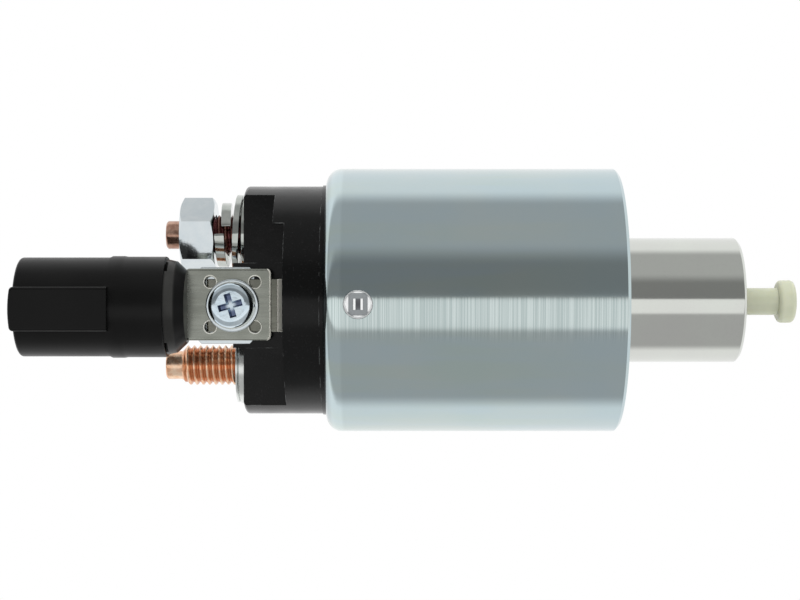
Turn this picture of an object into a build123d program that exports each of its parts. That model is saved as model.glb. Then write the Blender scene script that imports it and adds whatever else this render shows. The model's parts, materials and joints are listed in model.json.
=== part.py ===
"""Starter solenoid with a side connector, built piece by piece in millimetres.

The origin is the centre of the mounting face. +X runs along the plunger axis
towards the lever hook, +Z points up, and the switch connector lies on the -Y side.
"""

from build123d import *
import math
import os

# Steel case
case_length = 57.4
case_radius = 26.15
case_wall = 1.95
front_wall = 5.5
case_edge_chamfer = 0.6
crimp_radius = 3.0
crimp_lip_thickness = 1.5
mount_hole_radius = 2.5
mount_hole_spacing = 40.0
stake_offset = 50.7
stake_tilt = 1.8
stake_count = 3
stake_mouth_radius = 2.8
stake_floor_radius = 2.3
stake_depth = 1.0
stake_punch_height = 4.2
stake_punch_width = 3.6
stake_punch_depth = 0.35
stake_rib_width = 0.4
stake_rib_height = 2.1
stake_rib_spacing = 1.38
stake_groove_width = 0.83
stake_groove_depth = 0.2
stake_peg_radius = 1.4
stake_peg_height = 0.8

# Plunger, its stroke and the lever hook
plunger_radius = 12.4
plunger_reach = 24.2
plunger_chamfer = 0.6
plunger_stroke = 10.5
plunger_bore_radius = 8.5
plunger_bore_depth = 22.2
nose_length = 2.0
nose_drop = 2.4
hook_stem_radius = 2.7
hook_gap = 8.15
hook_drop = 0.3
hook_play = 0.4
hook_head_radius = 4.25
hook_head_length = 3.35
hook_head_fillet = 0.9
hook_foot_radius = 7.9
hook_foot_length = 2.5
retainer_thickness = 1.5
retainer_recess = 0.5
retainer_radius = 9.4
engagement_wire = 1.6
engagement_turns = 4.0
engagement_radius = 5.7

# Coil, its sleeve and the fixed core
running_clearance = 0.08
sleeve_wall = 0.6
sleeve_recess = 0.4
sleeve_overlap = 8.0
core_plate_thickness = 6.0
core_boss_length = 16.2
core_boss_clearance = 0.18
core_recess_clearance = 0.4
core_counterbore_radius = 7.0
core_counterbore_depth = 3.2
closed_gap = 0.4
return_wire = 1.4
return_radius = 6.3
return_turns = 4.0
spring_wire_sides = 6
spring_groove_play = 0.5
plunger_groove_depth = 6.0
core_groove_depth = 5.0
bobbin_wall = 1.1
bobbin_flange = 1.5
coil_washer_thickness = 0.5
coil_washer_inset = 1.0
coil_end_play = 0.2
pull_in_share = 0.57
hold_in_inset = 0.42
winding_play = 0.1
lead_radius = 0.6
lead_inset = 1.2
lead_hole_radius = 1.3
cut_over = 1.0

# Terminal cap
cap_inset = 3.5
cap_reach = 15.9
cap_edge_fillet = 0.7
cap_bead_height = 0.22
cap_bead_length = 0.7
cap_flange_clearance = 0.3
cap_flange_thickness = 2.2
gasket_thickness = 0.8
gasket_width = 3.4
cap_wall = 2.85
chamber_wall = 10.4
flat_depth = 9.7
flat_length_above = 6.1
flat_length_below = 8.3
flat_split_height = 14.6
seat_width = 16.5
seat_overhang = 2.0
seat_height = 0.7
seat_depth = 3.4

# Main studs
stud_spacing = 26.0
stud_thread_radius = 3.95
stud_shank_radius = 3.6
stud_pilot_radius = 2.8
stud_pilot_length = 3.2
stud_cone_length = 0.9
stud_reach = 16.1
stud_head_thickness = 4.0
stud_head_width = 13.0
stud_head_inset = 6.5
stud_head_clearance = 0.3
stud_head_proud = 0.4
stud_fit = 0.1
seal_wire_radius = 0.8
seal_sides = 8
motor_washer_radius = 7.6
motor_washer_base = 1.2
motor_washer_groove = 0.25
motor_washer_groove_depth = 0.6
motor_washer_rim = 0.45
motor_washer_rim_inset = 0.2
battery_ring_radius = 7.3
battery_ring_thickness = 0.8
battery_washer_radius = 8.0
battery_washer_thickness = 1.2
battery_washer_tilt = 3.0
lock_washer_radius = 6.4
lock_washer_thickness = 1.9
lock_washer_rise = 1.4
lock_washer_split = 14.0
washer_play = 0.25
nut_flats = 13.0
nut_height = 6.7
nut_chamfer_angle = 30.0
nut_turn = 11.3
nut_gap = 0.16
nut_sides = 6

# Contact set
rod_radius = 3.0
rod_tail_radius = 2.4
rod_end_gap = 0.15
rod_ratio = 0.3
collar_radius = 5.4
collar_thickness = 1.4
contact_gap = 2.3
contact_closed_gap = 0.1
disc_inset = 3.0
disc_thickness = 2.0
disc_bore_radius = 4.2
insulator_bush_radius = 4.1
insulator_flange_radius = 6.4
insulator_thickness = 1.2
rear_insulator_radius = 5.0
clip_radius = 4.2
clip_thickness = 1.0
rod_tail_length = 1.6
contact_wire = 0.9
contact_spring_radius = 4.2
contact_spring_turns = 1.5
rod_spring_wire = 0.6
rod_spring_radius = 3.4
rod_spring_turns = 3.0
rod_pocket_clearance = 0.3
rod_pocket_depth = 8.0
stack_play = 0.1

# Switch terminal and connector
screw_overhang = 1.7
terminal_z = -1.05
plate_rise = 0.18
connector_drop = 0.28
latch_drop = 0.35
nut_plate_length = 11.1
nut_plate_width = 14.8
nut_plate_thickness = 2.2
nut_plate_shift = 1.5
nut_plate_chamfer = 0.9
strip_width = 10.2
strip_thickness = 1.0
strip_reach = 4.6
strip_joggle = 1.4
strip_joggle_run = 1.2
strip_joggle_end = 0.4
strip_inner_height = 19.2
plate_tail = 9.25
plate_nose = 7.35
plate_width = 13.8
plate_thickness = 1.0
plate_corner = 1.0
plate_edge_fillet = 0.4
window_side = 8.6
window_relief_radius = 1.2
window_opening = 7.6
screw_radius = 2.5
screw_head_radius = 4.3
screw_head_height = 3.0
screw_recess_width = 1.3
screw_recess_reach = 2.35
screw_recess_depth = 1.6
screw_recess_taper = 12.0
screw_recess_turn = 16.0
screw_washer_radius = 5.1
screw_washer_thickness = 0.9
screw_lock_radius = 4.5
screw_lock_thickness = 1.1
connector_length = 28.15
connector_front_radius = 9.5
connector_back_radius = 9.65
connector_step_length = 11.05
connector_ring_length = 3.4
connector_ring_height = 0.12
connector_ring_slope = 0.6
connector_neck_length = 3.7
connector_lip_radius = 9.15
connector_lip_taper = 0.4
connector_lip_length = 1.8
connector_slot_width = 0.5
connector_slot_height = 1.9
connector_neck_overlap = 0.6
connector_neck_radius = 6.95
connector_edge_fillet = 0.6
connector_shoulder_fillet = 0.4
socket_radius = 7.6
socket_depth = 18.0
latch_width = 8.3
latch_gap = 10.2
latch_overhang = 0.5
latch_height = 1.4
latch_end_radius = 24.0
latch_corner = 0.8
latch_slot_width = 6.0
latch_slot_height = 1.3
latch_slot_length = 12.0
blade_width = 6.3
blade_thickness = 0.8
blade_recess = 3.6
blade_point = 1.2

# Stations along X worked out from the driving dimensions
crimp_face = -case_length
cap_front = crimp_face + crimp_lip_thickness + cap_flange_thickness
plate_back = cap_front + gasket_thickness
plate_face = plate_back + core_plate_thickness
core_face = plate_face + core_boss_length
recess_floor = core_face - nose_length
nose_face = recess_floor + closed_gap + plunger_stroke
plunger_bore_floor = plunger_reach - plunger_bore_depth
retainer_face = plunger_reach - retainer_recess
retainer_back = retainer_face - retainer_thickness
hook_foot_face = plunger_bore_floor + stack_play + hook_foot_length
hook_head_face = plunger_reach + hook_gap
cap_end = crimp_face - cap_reach
chamber_floor = cap_end + chamber_wall
head_face = chamber_floor + stud_head_proud
head_back = head_face - stud_head_thickness
stud_end = cap_end - stud_reach
flat_step_above = cap_end + flat_length_above
flat_step_below = cap_end + flat_length_below
motor_washer_back = cap_end - motor_washer_base - motor_washer_groove - motor_washer_rim
terminal_x = cap_end - screw_overhang
plate_rear = terminal_x - plate_tail
plate_front = terminal_x + plate_nose
connector_neck_end = plate_rear + connector_neck_overlap
connector_shoulder = connector_neck_end - connector_neck_length
connector_step = connector_shoulder - connector_step_length
connector_end = connector_shoulder - connector_length
latch_end = connector_shoulder - latch_gap
blade_end = connector_end + blade_recess
rod_travel = rod_ratio * plunger_stroke
rod_front = recess_floor + closed_gap - rod_end_gap + rod_travel
disc_back = head_face + contact_gap
disc_front = disc_back + disc_thickness
disc_travel = contact_gap - contact_closed_gap
collar_front = plate_back + core_counterbore_depth - 3 * stack_play
collar_back = collar_front - collar_thickness
clip_front = disc_back - insulator_thickness - 2 * stack_play
clip_back = clip_front - clip_thickness
rod_end = clip_back - rod_tail_length
rod_pocket_floor = chamber_floor - rod_pocket_depth

# Radii and heights worked out from the driving dimensions
case_bore_radius = case_radius - case_wall
cap_radius = case_radius - cap_inset
rod_pocket_radius = rear_insulator_radius + rod_pocket_clearance
cap_flange_radius = case_bore_radius - cap_flange_clearance
chamber_radius = cap_radius - cap_wall
lead_circle_radius = chamber_radius - lead_inset
stud_head_radius = chamber_radius - stud_head_clearance
disc_radius = chamber_radius - disc_inset
bobbin_flange_radius = case_bore_radius - 4 * stack_play
sleeve_bore_radius = plunger_radius + running_clearance
sleeve_radius = sleeve_bore_radius + sleeve_wall
core_boss_radius = sleeve_bore_radius - core_boss_clearance
groove_inner_radius = return_radius - return_wire / 2 - spring_groove_play
groove_outer_radius = return_radius + return_wire / 2 + spring_groove_play
crimp_lip_radius = cap_radius + 3 * stack_play
stud_height = stud_spacing / 2
flat_y = -flat_depth
seat_y = flat_y - seat_height
nut_plate_y = seat_y - nut_plate_thickness
strip_y = nut_plate_y - strip_thickness
plate_y = strip_y - plate_thickness
screw_washer_y = plate_y - screw_washer_thickness
screw_lock_y = screw_washer_y - screw_lock_thickness
connector_y = plate_y + plate_thickness / 2
plate_z = terminal_z + plate_rise
connector_z = terminal_z - connector_drop
winding_front = -front_wall - coil_washer_thickness - 2 * coil_end_play - bobbin_flange
winding_back = plate_face + coil_end_play + bobbin_flange


def bar_x(x_start, x_end, radius, y=0.0, z=0.0):
    """A round bar between two stations along X."""
    middle = Pos((x_start + x_end) / 2, y, z)
    return middle * Rot(0, 90, 0) * Cylinder(radius, abs(x_end - x_start))


def ring_x(x_start, x_end, outer_radius, inner_radius, y=0.0, z=0.0):
    """A flat ring or tube along X."""
    return bar_x(x_start, x_end, outer_radius, y, z) - bar_x(x_start, x_end, inner_radius, y, z)


def bar_y(y_start, y_end, radius, x, z):
    """A round bar between two depths along Y."""
    middle = Pos(x, (y_start + y_end) / 2, z)
    return middle * Rot(90, 0, 0) * Cylinder(radius, abs(y_end - y_start))


def block(x_range, y_range, z_range):
    """A rectangular block between pairs of limits."""
    spans = [high - low for low, high in (x_range, y_range, z_range)]
    centre = [(low + high) / 2 for low, high in (x_range, y_range, z_range)]
    return Pos(*centre) * Box(*spans)


def outline(*corners):
    """A closed face from (x, radius) corners."""
    return make_face(Polyline(*corners, close=True))


def turned(profile):
    """A body turned about the plunger axis from a face in X and radius."""
    return revolve(Plane.XZ * profile, Axis.X)


def coil_spring(x_start, x_end, mean_radius, wire, turns):
    """A compression spring along X, its round wire drawn with flat sides."""
    rise = x_end - x_start - wire
    path = Helix(rise / turns, rise, mean_radius)
    section = Plane(origin=path @ 0, z_dir=path % 0) * RegularPolygon(wire / 2, spring_wire_sides)
    coil = sweep(section, path=path, is_frenet=True)
    return Pos(x_start + wire / 2, 0, 0) * Rot(0, 90, 0) * coil


def split_washer(outer_radius, inner_radius, thickness, rise, split_angle):
    """A spring washer about X: one helical turn of square wire, starting at x = 0."""
    turn = 1 - split_angle / 360
    mean_radius = (outer_radius + inner_radius) / 2
    path = Helix(rise / turn, rise, mean_radius)
    section = Plane(origin=path @ 0, x_dir=(1, 0, 0), z_dir=path % 0)
    wire = section * Rectangle(outer_radius - inner_radius, thickness)
    washer = sweep(wire, path=path, is_frenet=True)
    return Pos(thickness / 2, 0, 0) * Rot(0, 90, 0) * washer


def stake_angles():
    """The turn of each stake about X, from the -Y side."""
    return [stake_tilt + number * 360 / stake_count for number in range(stake_count)]


def stake_punch():
    """The punched floor of a stake, with two ribs and the groove between them."""
    floor_y = -case_radius + stake_depth
    bottom_y = floor_y + stake_punch_depth
    half_width = stake_punch_width / 2
    half_height = stake_punch_height / 2
    half_rib = stake_rib_height / 2
    punch = block(
        (-stake_offset - half_width, -stake_offset + half_width),
        (floor_y - stake_punch_depth, bottom_y),
        (-half_height, half_height),
    )
    for side in (-1, 1):
        middle = -stake_offset + side * stake_rib_spacing / 2
        punch = punch - block(
            (middle - stake_rib_width / 2, middle + stake_rib_width / 2),
            (floor_y, bottom_y + stack_play),
            (-half_rib, half_rib),
        )
    groove = block(
        (-stake_offset - stake_groove_width / 2, -stake_offset + stake_groove_width / 2),
        (floor_y, bottom_y + stake_groove_depth),
        (-half_rib, half_rib),
    )
    return punch + groove


def stake_cut():
    """One conical stake with its punched floor, on the -Y side."""
    floor_y = -case_radius + stake_depth
    span = stake_depth + stack_play
    slope = (stake_mouth_radius - stake_floor_radius) / stake_depth
    mouth = stake_floor_radius + slope * span
    cone = Rot(90, 0, 0) * Cone(stake_floor_radius, mouth, span)
    return Pos(-stake_offset, floor_y - span / 2, 0) * cone + stake_punch()


def mount_holes():
    """The two threaded fixing holes through the front wall."""
    half = mount_hole_spacing / 2
    holes = [bar_x(-front_wall - cut_over, cut_over, mount_hole_radius, z=side * half) for side in (-1, 1)]
    return holes[0] + holes[1]


def case_shell():
    """The drawn steel case: thick front wall, crimped rear lip and stakes."""
    lip_front = crimp_face + crimp_lip_thickness
    front_bore = sleeve_radius + stack_play / 2
    profile = outline(
        (0, front_bore),
        (0, case_radius),
        (crimp_face, case_radius),
        (crimp_face, crimp_lip_radius),
        (lip_front, crimp_lip_radius),
        (lip_front, case_bore_radius),
        (-front_wall, case_bore_radius),
        (-front_wall, front_bore),
    )
    corners = profile.vertices()
    shoulder = corners.sort_by(Axis.X)[:2].sort_by(Axis.Y)[-1]
    profile = fillet(shoulder, crimp_radius)
    front_edge = profile.vertices().sort_by(Axis.X)[-2:].sort_by(Axis.Y)[-1]
    profile = chamfer(front_edge, case_edge_chamfer)
    case = turned(profile) - mount_holes()
    peg = bar_y(
        -case_bore_radius - case_wall / 4,
        -case_bore_radius + stake_peg_height,
        stake_peg_radius,
        -stake_offset,
        0,
    )
    for angle in stake_angles():
        case = case - Rot(angle, 0, 0) * stake_cut()
        case = case + Rot(angle, 0, 0) * peg
    return case


def plunger():
    """The sliding iron plunger: bored for the hook, grooved for its return spring."""
    nose_radius = plunger_radius - nose_drop
    nose_shoulder = nose_face + nose_length
    profile = outline(
        (nose_face, 0),
        (nose_face, nose_radius),
        (nose_shoulder, nose_radius + nose_length),
        (nose_shoulder, plunger_radius),
        (plunger_reach - plunger_chamfer, plunger_radius),
        (plunger_reach, plunger_radius - plunger_chamfer),
        (plunger_reach, retainer_radius + stack_play / 2),
        (retainer_back, retainer_radius + stack_play / 2),
        (retainer_back, plunger_bore_radius),
        (plunger_bore_floor, plunger_bore_radius),
        (plunger_bore_floor, 0),
    )
    groove = ring_x(
        nose_face - cut_over, nose_face + plunger_groove_depth, groove_outer_radius, groove_inner_radius
    )
    return turned(profile) - groove


def hook_retainer():
    """The pressed washer that keeps the hook and its spring in the plunger."""
    return ring_x(retainer_back, retainer_face, retainer_radius, hook_stem_radius + hook_play)


def plunger_hook():
    """The moulded lever hook: foot, stem and rounded head, hanging a little low."""
    foot = bar_x(hook_foot_face - hook_foot_length, hook_foot_face, hook_foot_radius)
    stem = bar_x(hook_foot_face - cut_over, hook_head_face + cut_over, hook_stem_radius)
    head = bar_x(hook_head_face, hook_head_face + hook_head_length, hook_head_radius)
    head = fillet(head.edges().filter_by(GeomType.CIRCLE), hook_head_fillet)
    return Pos(0, 0, -hook_drop) * (foot + stem + head)


def engagement_spring():
    """The spring that lets the hook lag behind the plunger."""
    return coil_spring(
        hook_foot_face + stack_play,
        retainer_back - stack_play,
        engagement_radius,
        engagement_wire,
        engagement_turns,
    )


def guide_sleeve():
    """The brass sleeve that the plunger runs in."""
    return ring_x(core_face - sleeve_overlap, -sleeve_recess, sleeve_radius, sleeve_bore_radius)


def fixed_core():
    """The fixed core: plate, boss with a conical seat, and rod bore."""
    recess_radius = plunger_radius - nose_drop + nose_length + core_recess_clearance / 2
    profile = outline(
        (plate_back, rod_radius + running_clearance),
        (plate_back, case_bore_radius - stack_play),
        (plate_face, case_bore_radius - stack_play),
        (plate_face, core_boss_radius),
        (core_face, core_boss_radius),
        (core_face, recess_radius),
        (recess_floor, recess_radius - nose_length),
        (recess_floor, rod_radius + running_clearance),
    )
    core = turned(profile)
    core = core - bar_x(
        plate_back - cut_over, plate_back + core_counterbore_depth, core_counterbore_radius
    )
    groove_floor = recess_floor - core_groove_depth
    groove_mouth = recess_floor + cut_over
    core = core - ring_x(groove_floor, groove_mouth, groove_outer_radius, groove_inner_radius)
    core = core - lead_holes(plate_back - cut_over, plate_face + cut_over)
    socket_floor = -case_bore_radius + stake_peg_height + stack_play
    socket = bar_y(
        -case_bore_radius, socket_floor, stake_peg_radius + stack_play, -stake_offset, 0
    )
    for angle in stake_angles():
        core = core - Rot(angle, 0, 0) * socket
    return core


def return_spring():
    """The spring that pushes the plunger out."""
    return coil_spring(
        recess_floor - core_groove_depth + stack_play,
        nose_face + plunger_groove_depth - stack_play,
        return_radius,
        return_wire,
        return_turns,
    )


def lead_places():
    """The (y, z) of the switch lead and of the motor lead."""
    switch_y = -math.sqrt(lead_circle_radius**2 - terminal_z**2)
    return (switch_y, terminal_z), (0.0, -lead_circle_radius)


def lead_holes(x_start, x_end):
    """Clearance holes for the two coil leads."""
    switch_hole, motor_hole = [
        bar_x(x_start, x_end, lead_hole_radius, y, z) for y, z in lead_places()
    ]
    return switch_hole + motor_hole


def coil_washer():
    """The thin washer between the case's front wall and the bobbin."""
    inner_radius = sleeve_radius + coil_washer_inset
    outer_radius = case_bore_radius - coil_washer_inset
    back = -front_wall - coil_end_play - coil_washer_thickness
    return ring_x(back, back + coil_washer_thickness, outer_radius, inner_radius)


def coil_bobbin():
    """The moulded bobbin between the case's front wall and the core plate."""
    barrel_bore = sleeve_radius + stack_play
    barrel_radius = barrel_bore + bobbin_wall
    barrel = bar_x(winding_back - bobbin_flange, winding_front + bobbin_flange, barrel_radius)
    flanges = [
        bar_x(winding_front, winding_front + bobbin_flange, bobbin_flange_radius),
        bar_x(winding_back - bobbin_flange, winding_back, bobbin_flange_radius),
    ]
    bobbin = barrel + flanges[0] + flanges[1]
    bore_length = bobbin_flange + cut_over
    bobbin = bobbin - bar_x(winding_back - bore_length, winding_front + bore_length, barrel_bore)
    return bobbin - lead_holes(winding_back - bobbin_flange - cut_over, winding_back)


def winding_radii():
    """Inner and outer radii of the pull-in winding, then of the hold-in winding."""
    pull_in_inner = sleeve_radius + stack_play + bobbin_wall + winding_play
    hold_in_outer = bobbin_flange_radius - hold_in_inset
    copper_depth = hold_in_outer - pull_in_inner - winding_play
    pull_in_outer = pull_in_inner + pull_in_share * copper_depth
    return pull_in_inner, pull_in_outer, pull_in_outer + winding_play, hold_in_outer


def pull_in_winding():
    """The heavy inner winding."""
    inner_radius, outer_radius = winding_radii()[:2]
    return ring_x(winding_back + winding_play, winding_front - winding_play, outer_radius, inner_radius)


def hold_in_winding():
    """The fine outer winding."""
    inner_radius, outer_radius = winding_radii()[2:]
    return ring_x(winding_back + winding_play, winding_front - winding_play, outer_radius, inner_radius)


def switch_lead():
    """The coil wire that runs to the switch terminal."""
    y, z = lead_places()[0]
    return bar_x(chamber_floor + stack_play, winding_back + winding_play, lead_radius, y, z)


def motor_lead():
    """The coil wire that runs to the motor stud's head."""
    y, z = lead_places()[1]
    return bar_x(head_face, winding_back + winding_play, lead_radius, y, z)


def cap_gasket():
    """The flat rubber ring between the cap and the core plate."""
    return ring_x(cap_front, plate_back, cap_flange_radius, cap_flange_radius - gasket_width)


def head_prism(side, growth=0.0):
    """A stud head: a block with its outer side rounded to the chamber."""
    half_width = stud_head_width / 2 + growth
    z_limits = sorted((side * (stud_head_inset - growth), side * case_radius))
    head = block((head_back, head_face), (-half_width, half_width), z_limits)
    return head & bar_x(head_back, head_face, stud_head_radius + growth)


def cap_pocket():
    """The flat cut across the cap's rear corner, with its stepped end."""
    below = block(
        (cap_end - cut_over, flat_step_below),
        (-case_radius, flat_y),
        (-case_radius, flat_split_height),
    )
    above = block(
        (cap_end - cut_over, flat_step_above),
        (-case_radius, flat_y),
        (flat_split_height - cut_over, case_radius),
    )
    return below + above


def terminal_seat():
    """The raised seat under the switch terminal, with a relief for the screw's tip."""
    half_width = seat_width / 2
    seat = block(
        (cap_end - seat_overhang, flat_step_below),
        (seat_y, seat_y + seat_depth),
        (terminal_z - half_width, terminal_z + half_width),
    )
    relief_radius = screw_radius + 3 * stack_play
    relief = bar_y(seat_y - cut_over, flat_y + cut_over, relief_radius, terminal_x, terminal_z)
    return seat - relief


def terminal_cap():
    """The moulded terminal cap: flange, contact chamber, stud bores and pocket."""
    flange_back = crimp_face + crimp_lip_thickness
    bead_end = crimp_face - cap_bead_length
    bead_radius = cap_radius + cap_bead_height
    profile = outline(
        (cap_front, chamber_radius),
        (cap_front, cap_flange_radius),
        (flange_back, cap_flange_radius),
        (flange_back, bead_radius),
        (bead_end, bead_radius),
        (bead_end, cap_radius),
        (cap_end, cap_radius),
        (cap_end, 0),
        (chamber_floor, 0),
        (chamber_floor, chamber_radius),
    )
    rear_edge = profile.vertices().sort_by(Axis.X)[:2].sort_by(Axis.Y)[-1]
    profile = fillet(rear_edge, cap_edge_fillet)
    cap = turned(profile) - cap_pocket() + terminal_seat()
    cap = cap - bar_x(rod_pocket_floor, chamber_floor + cut_over, rod_pocket_radius)
    for side in (-1, 1):
        height = side * stud_height
        bore_radius = stud_thread_radius + stud_fit
        bore = bar_x(cap_end - cut_over, chamber_floor + cut_over, bore_radius, z=height)
        seal_radius = bore_radius + 2 * seal_wire_radius + stud_fit
        seal_floor = cap_end + 2 * seal_wire_radius
        seal_seat = bar_x(cap_end - cut_over, seal_floor, seal_radius, z=height)
        cap = cap - bore - seal_seat - head_prism(side, stud_fit)
    return cap - switch_terminal()


def stud(side):
    """A copper contact bolt: head, shank, thread barrel, cone and pilot."""
    pilot_start = stud_end + stud_pilot_length
    thread_start = motor_washer_back
    profile = outline(
        (head_back, 0),
        (head_back, stud_shank_radius),
        (thread_start, stud_shank_radius),
        (thread_start, stud_thread_radius),
        (pilot_start + stud_cone_length, stud_thread_radius),
        (pilot_start, stud_pilot_radius),
        (stud_end, stud_pilot_radius),
        (stud_end, 0),
    )
    return Pos(0, 0, side * stud_height) * turned(profile) + head_prism(side)


def stud_seal(side):
    """A rubber ring round one stud, in the cap's counterbore, its section drawn with flat sides."""
    mean_radius = stud_thread_radius + seal_wire_radius + stud_fit
    section = RegularPolygon(seal_wire_radius, seal_sides)
    ring = turned(Pos(cap_end + seal_wire_radius, mean_radius) * section)
    return Pos(0, 0, side * stud_height) * ring


def motor_stud_washer():
    """The thick retaining washer on the motor stud, grooved round its edge."""
    bore = stud_thread_radius + stack_play
    rim_radius = motor_washer_radius - motor_washer_rim_inset
    groove_radius = motor_washer_radius - motor_washer_groove_depth
    groove_back = motor_washer_back + motor_washer_rim
    groove_front = groove_back + motor_washer_groove
    profile = outline(
        (motor_washer_back, bore),
        (motor_washer_back, rim_radius),
        (groove_back, rim_radius),
        (groove_back, groove_radius),
        (groove_front, groove_radius),
        (groove_front, motor_washer_radius),
        (cap_end, motor_washer_radius),
        (cap_end, bore),
    )
    return Pos(0, 0, -stud_height) * turned(profile)


def battery_stud_ring():
    """The thin retaining washer on the battery stud."""
    bore = stud_thread_radius + stack_play
    back = cap_end - battery_ring_thickness
    return ring_x(back, cap_end, battery_ring_radius, bore, z=stud_height)


def washer_lean():
    """How far the tilted washer's rim leans to each side of its middle plane."""
    angle = math.radians(battery_washer_tilt)
    return battery_washer_radius * math.sin(angle) + battery_washer_thickness / 2


def battery_flat_washer():
    """The loose flat washer, leaning on the battery stud."""
    bore = stud_thread_radius + washer_play
    half = battery_washer_thickness / 2
    station = cap_end - battery_ring_thickness - washer_lean()
    washer = ring_x(-half, half, battery_washer_radius, bore)
    return Pos(station, 0, stud_height) * Rot(0, battery_washer_tilt, 0) * washer


def lock_washer_front():
    """The station of the lock washer's front side."""
    return cap_end - battery_ring_thickness - 2 * washer_lean()


def battery_lock_washer():
    """The loose split spring washer, its gap towards the connector side."""
    bore = stud_thread_radius + washer_play
    length = lock_washer_thickness + lock_washer_rise
    washer = split_washer(
        lock_washer_radius, bore, lock_washer_thickness, lock_washer_rise, lock_washer_split
    )
    return Pos(lock_washer_front() - length, 0, stud_height) * Rot(-90, 0, 0) * washer


def battery_nut():
    """The hexagon nut on the battery stud, chamfered at both ends."""
    half_flats = nut_flats / 2
    half_side = math.pi / nut_sides
    corner_radius = half_flats / math.cos(half_side)
    drop = (corner_radius - half_flats) * math.tan(math.radians(nut_chamfer_angle))
    hexagon = Rot(0, 0, math.degrees(half_side)) * RegularPolygon(corner_radius, nut_sides)
    prism = extrude(Plane.YZ * hexagon, nut_height)
    profile = outline(
        (0, 0),
        (0, half_flats),
        (drop, corner_radius),
        (nut_height - drop, corner_radius),
        (nut_height, half_flats),
        (nut_height, 0),
    )
    nut = prism & turned(profile)
    nut = nut - bar_x(-cut_over, nut_height + cut_over, stud_thread_radius + stack_play / 2)
    front = lock_washer_front() - lock_washer_thickness - lock_washer_rise - nut_gap
    return Pos(front - nut_height, 0, stud_height) * Rot(nut_turn, 0, 0) * nut


def contact_rod():
    """The push rod: front shank, collar and thinner tail."""
    profile = outline(
        (rod_front, 0),
        (rod_front, rod_radius),
        (collar_front, rod_radius),
        (collar_front, collar_radius),
        (collar_back, collar_radius),
        (collar_back, rod_tail_radius),
        (rod_end, rod_tail_radius),
        (rod_end, 0),
    )
    return turned(profile)


def rod_clip():
    """The clip that holds the contact set on the rod's tail."""
    return ring_x(clip_back, clip_front, clip_radius, rod_tail_radius)


def moving_contact():
    """The copper disc that bridges the two studs."""
    return ring_x(disc_back, disc_front, disc_radius, disc_bore_radius)


def contact_insulator_front():
    """The flanged insulating bush in front of the disc."""
    bore = rod_tail_radius + running_clearance
    flange_back = disc_front + stack_play / 2
    flange = ring_x(flange_back, flange_back + insulator_thickness, insulator_flange_radius, bore)
    return flange + ring_x(disc_back, flange_back, insulator_bush_radius, bore)


def contact_insulator_rear():
    """The insulating washer behind the disc."""
    front = disc_back - stack_play / 2
    bore = rod_tail_radius + running_clearance
    return ring_x(front - insulator_thickness, front, rear_insulator_radius, bore)


def contact_spring():
    """The spring that presses the disc on the stud heads."""
    seat = disc_front + insulator_thickness + 2 * stack_play
    return coil_spring(
        seat, collar_back - stack_play, contact_spring_radius, contact_wire, contact_spring_turns
    )


def rod_return_spring():
    """The spring that lifts the disc off the stud heads."""
    return coil_spring(
        rod_pocket_floor + stack_play,
        clip_back - stack_play,
        rod_spring_radius,
        rod_spring_wire,
        rod_spring_turns,
    )


def switch_terminal():
    """The tinned strip moulded into the cap, which carries the switch screw."""
    upper = strip_y
    lower = strip_y + strip_joggle
    joggle_start = flat_step_below - strip_joggle_end
    joggle_end = joggle_start - strip_joggle_run
    wall_middle = (chamber_floor + flat_step_below) / 2
    half = strip_thickness / 2
    path = Polyline(
        (terminal_x - strip_reach, upper + half),
        (joggle_end, upper + half),
        (joggle_start, lower + half),
        (wall_middle, lower + half),
        (wall_middle, -strip_inner_height + half),
    )
    strip = extrude(make_face(offset(path, half, side=Side.BOTH)), strip_width)
    strip = Pos(0, 0, terminal_z - strip_width / 2) * strip
    hole_end = upper + strip_thickness + cut_over
    hole = bar_y(upper - cut_over, hole_end, screw_radius + stack_play, terminal_x, terminal_z)
    return strip - hole


def terminal_nut():
    """The chamfered nut plate under the strip."""
    middle = terminal_x - nut_plate_shift
    plate = Box(nut_plate_length, nut_plate_thickness, nut_plate_width)
    corners = plate.edges().filter_by(Axis.Y)
    plate = chamfer(corners, nut_plate_chamfer)
    plate = Pos(middle, nut_plate_y + nut_plate_thickness / 2, terminal_z) * plate
    bore = screw_radius + stack_play
    hole = bar_y(nut_plate_y - cut_over, seat_y + cut_over, bore, terminal_x, terminal_z)
    return plate - hole


def window_cut():
    """The captive window in the plate: a square with round corner reliefs."""
    half = window_side / 2
    through = (plate_y - cut_over, plate_y + plate_thickness + cut_over)
    opening = window_opening / 2
    window = block(
        (terminal_x - opening, terminal_x + opening),
        through,
        (plate_z - opening, plate_z + opening),
    )
    for x_side in (-1, 1):
        for z_side in (-1, 1):
            x = terminal_x + x_side * half
            z = plate_z + z_side * half
            window = window + bar_y(*through, window_relief_radius, x, z)
    return window


def screw_plate():
    """The flat screw plate: rounded corners and a soft edge on the screw's side."""
    middle = Pos((plate_rear + plate_front) / 2, plate_y + plate_thickness, plate_z)
    flat = RectangleRounded(plate_front - plate_rear, plate_width, plate_corner)
    plate = middle * extrude(Plane.XZ * flat, plate_thickness)
    return fillet(plate.edges().group_by(Axis.Y)[0], plate_edge_fillet)


def connector_terminal():
    """The plated terminal: screw plate and male blade."""
    blade = block(
        (blade_end, plate_rear + cut_over),
        (connector_y - blade_thickness / 2, connector_y + blade_thickness / 2),
        (connector_z - blade_width / 2, connector_z + blade_width / 2),
    )
    blade = chamfer(blade.edges().filter_by(Axis.Y).sort_by(Axis.X)[:2], blade_point)
    return screw_plate() + blade - window_cut()


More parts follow.
